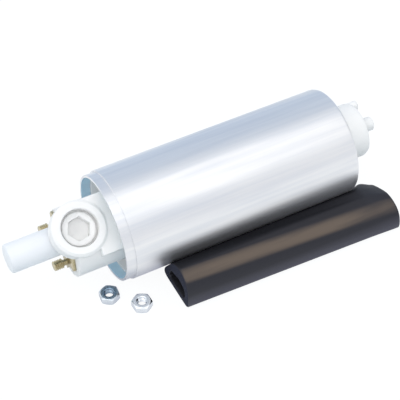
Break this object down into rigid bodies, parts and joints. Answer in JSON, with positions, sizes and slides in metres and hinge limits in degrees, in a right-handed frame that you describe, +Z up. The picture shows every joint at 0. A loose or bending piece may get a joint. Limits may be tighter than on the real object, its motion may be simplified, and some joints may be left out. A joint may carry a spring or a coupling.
{
  "type": "fuel pump",
  "caption": "Cylindrical in-line electric fuel pump with plated casing, capped outlet spigot, threaded terminals, ribbed inlet nozzle, loose nuts and a flattened rubber sleeve.",
  "frame": {"origin": "on the pump's axis, in the plane of the step where the casing narrows to its outlet lip", "axes": "+X along the pump's axis towards the inlet nozzle, +Z up with the pump lying on its side, +Y away from the rubber sleeve"},
  "size_m": [0.1553, 0.0583, 0.043],
  "materials": {
    "plated_steel": "satin, drawn along the axis",
    "white_plastic": "smooth moulded",
    "cap_plastic": "translucent",
    "brass": "dull",
    "zinc_plate": "bright zinc",
    "black_rubber": "smooth, dull",
    "seal_rubber": "smooth",
    "spring_steel": "plain",
    "machined_steel": "ground",
    "lamination_steel": "stacked sheets",
    "copper": "enamelled wire and bare segments",
    "carbon": "pressed carbon",
    "ferrite": "sintered",
    "bronze": "sintered",
    "cast_aluminium": "machined",
    "black_plastic": "moulded"
  },
  "bodies": {
    "pump": {"casing": "plated_steel", "outlet_cover": "white_plastic", "brush_holder": "black_plastic", "check_valve_seat": "machined_steel", "check_valve_guide": "white_plastic", "check_valve_spring": "spring_steel", "relief_valve_spring": "spring_steel", "relief_valve_plug": "white_plastic", "positive_terminal": "brass", "positive_choke": "ferrite", "positive_brush_spring": "spring_steel", "negative_terminal": "brass", "negative_choke": "ferrite", "negative_brush_spring": "spring_steel", "rear_bearing_bush": "bronze", "front_bearing_bush": "bronze", "upper_magnet": "ferrite", "lower_magnet": "ferrite", "magnet_clips": "spring_steel", "flux_ring": "machined_steel", "pump_outlet_plate": "cast_aluminium", "pump_ring": "cast_aluminium", "inlet_cover": "white_plastic", "thrust_pad": "white_plastic", "outlet_seal": "seal_rubber", "inlet_seal": "seal_rubber"},
    "armature": {"armature_shaft": "machined_steel", "commutator_segments": "copper", "commutator_hub": "black_plastic", "armature_core": "lamination_steel", "armature_windings": "copper", "impeller": "black_plastic"},
    "positive_brush": {"positive_brush": "carbon"},
    "negative_brush": {"negative_brush": "carbon"},
    "check_valve": {"check_valve_poppet": "white_plastic"},
    "relief_valve": {"relief_valve_poppet": "machined_steel"},
    "dust_cap": {"dust_cap": "cap_plastic"},
    "front_nut": {"front_nut": "zinc_plate"},
    "rear_nut": {"rear_nut": "zinc_plate"},
    "rubber_sleeve": {"rubber_sleeve": "black_rubber"}
  },
  "joints": [
    {"name": "armature_spin", "type": "hinge", "parent": "pump", "child": "armature", "pos_m": [0, 0, 0], "axis": [1, 0, 0], "continuous": true},
    {"name": "check_valve_lift", "type": "slide", "parent": "pump", "child": "check_valve", "axis": [-1, 0, 0], "range_m": [0, 0.0018], "stiffness_N_per_m": 100, "deforming": ["check_valve_spring"]},
    {"name": "relief_valve_lift", "type": "slide", "parent": "pump", "child": "relief_valve", "axis": [0, -0.5736, 0.8192], "range_m": [0, 0.0012], "stiffness_N_per_m": 300, "deforming": ["relief_valve_spring"]},
    {"name": "dust_cap_pull", "type": "slide", "parent": "pump", "child": "dust_cap", "axis": [-1, 0, 0], "range_m": [0, 0.025]},
    {"name": "front_nut_slide", "type": "slide", "parent": "pump", "child": "front_nut", "axis": [0, -1, 0], "range_m": [0, 0.025]},
    {"name": "rear_nut_slide", "type": "slide", "parent": "pump", "child": "rear_nut", "axis": [0, -1, 0], "range_m": [0, 0.025]},
    {"name": "rubber_sleeve_slide", "type": "slide", "parent": "pump", "child": "rubber_sleeve", "axis": [0, -1, 0], "range_m": [0, 0.04]},
    {"name": "positive_brush_travel", "type": "slide", "parent": "pump", "child": "positive_brush", "axis": [-1, 0, 0], "range_m": [0, 0.004], "stiffness_N_per_m": 60, "deforming": ["positive_brush_spring"]},
    {"name": "negative_brush_travel", "type": "slide", "parent": "pump", "child": "negative_brush", "axis": [-1, 0, 0], "range_m": [0, 0.004], "stiffness_N_per_m": 60, "deforming": ["negative_brush_spring"]}
  ]
}
